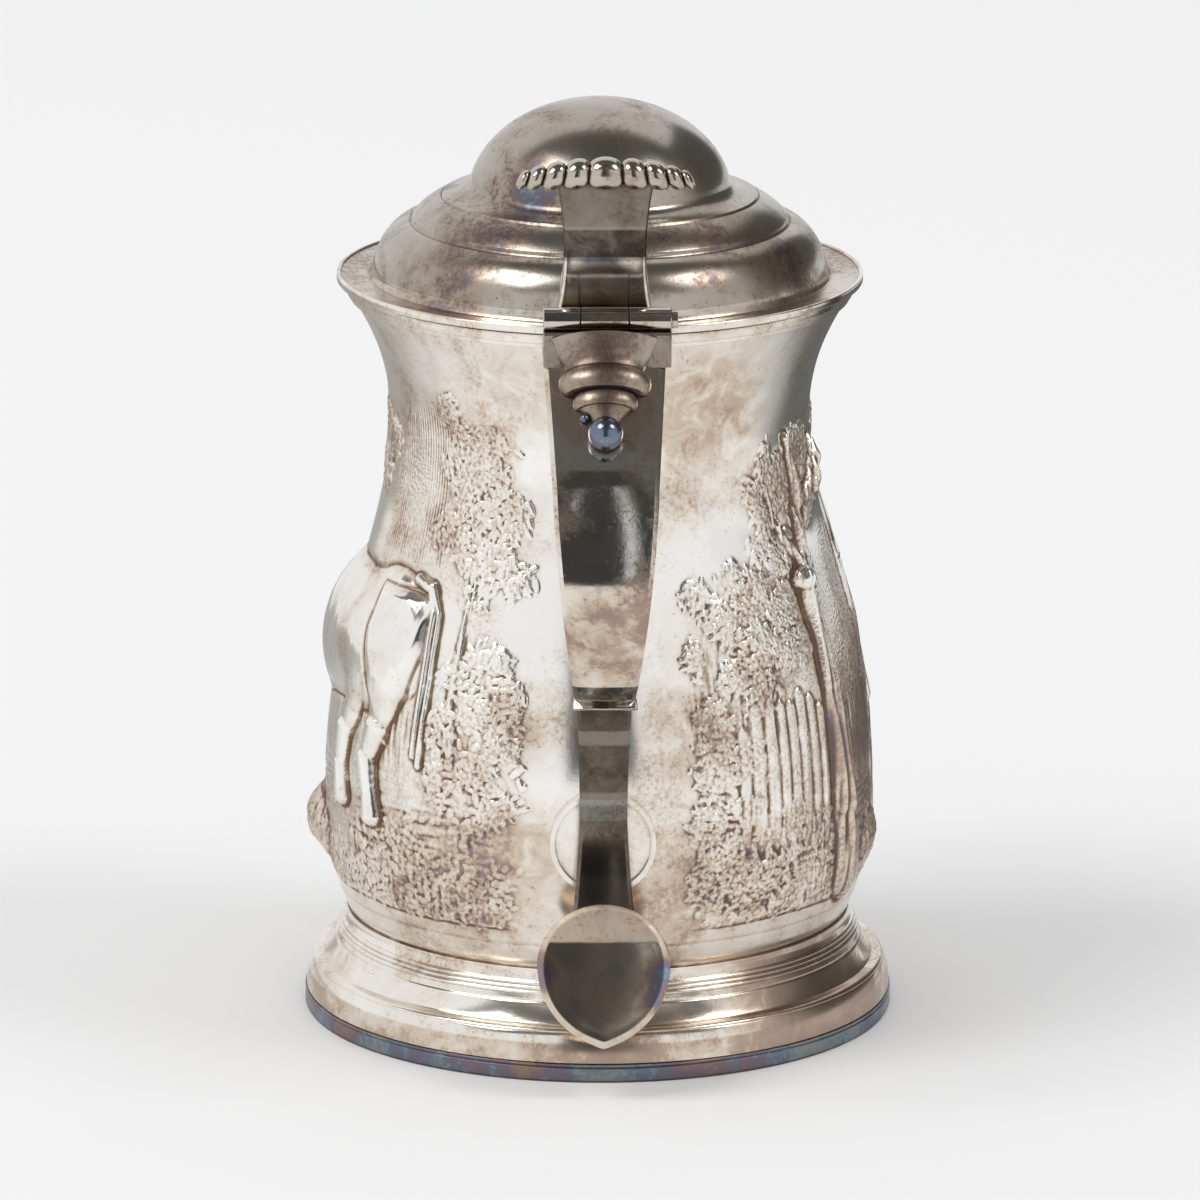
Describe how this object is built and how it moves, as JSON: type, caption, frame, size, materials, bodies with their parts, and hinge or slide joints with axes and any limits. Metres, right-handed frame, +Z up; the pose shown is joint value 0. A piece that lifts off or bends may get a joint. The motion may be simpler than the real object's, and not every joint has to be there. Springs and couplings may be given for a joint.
{
  "type": "lidded tankard",
  "caption": "Baluster tankard with a hinged stepped dome lid, lobed thumbpiece, hollow scroll handle and moulded foot, for drinking ale.",
  "frame": {"origin": "on the vessel's axis, in the plane of the foot's underside", "axes": "+Z up along the vessel's axis, the handle towards -Y, +X to the right seen from the handle"},
  "size_m": [0.1274, 0.1536, 0.2003],
  "materials": {
    "body_silver": "polished silver, lightly tarnished",
    "lid_silver": "polished silver with grey-brown tarnish",
    "handle_silver": "polished silver with brown spots",
    "toned_silver": "polished silver with blue-grey toning"
  },
  "bodies": {
    "vessel": {"body_shell": "body_silver", "lip_band": "body_silver", "foot_ring": "body_silver", "foot_band": "toned_silver", "lower_boss": "body_silver", "handle_strap": "handle_silver", "handle_gutter": "handle_silver", "break_cap": "handle_silver", "tail_strap": "handle_silver", "tail_gutter": "handle_silver", "terminal_plate": "toned_silver", "handle_hinge_leaf": "handle_silver", "hinge_drop": "handle_silver", "drop_ball": "toned_silver", "hinge_pin": "handle_silver"},
    "lid": {"lid_cover": "lid_silver", "lid_edge_wire": "lid_silver", "lid_bezel": "lid_silver", "lid_hinge_leaf": "lid_silver", "thumb_stem": "lid_silver", "thumb_crest": "lid_silver"}
  },
  "joints": [
    {"name": "lid_hinge", "type": "hinge", "parent": "vessel", "child": "lid", "pos_m": [0, -0.06, 0.165], "axis": [1, 0, 0], "range_deg": [0, 110]}
  ]
}
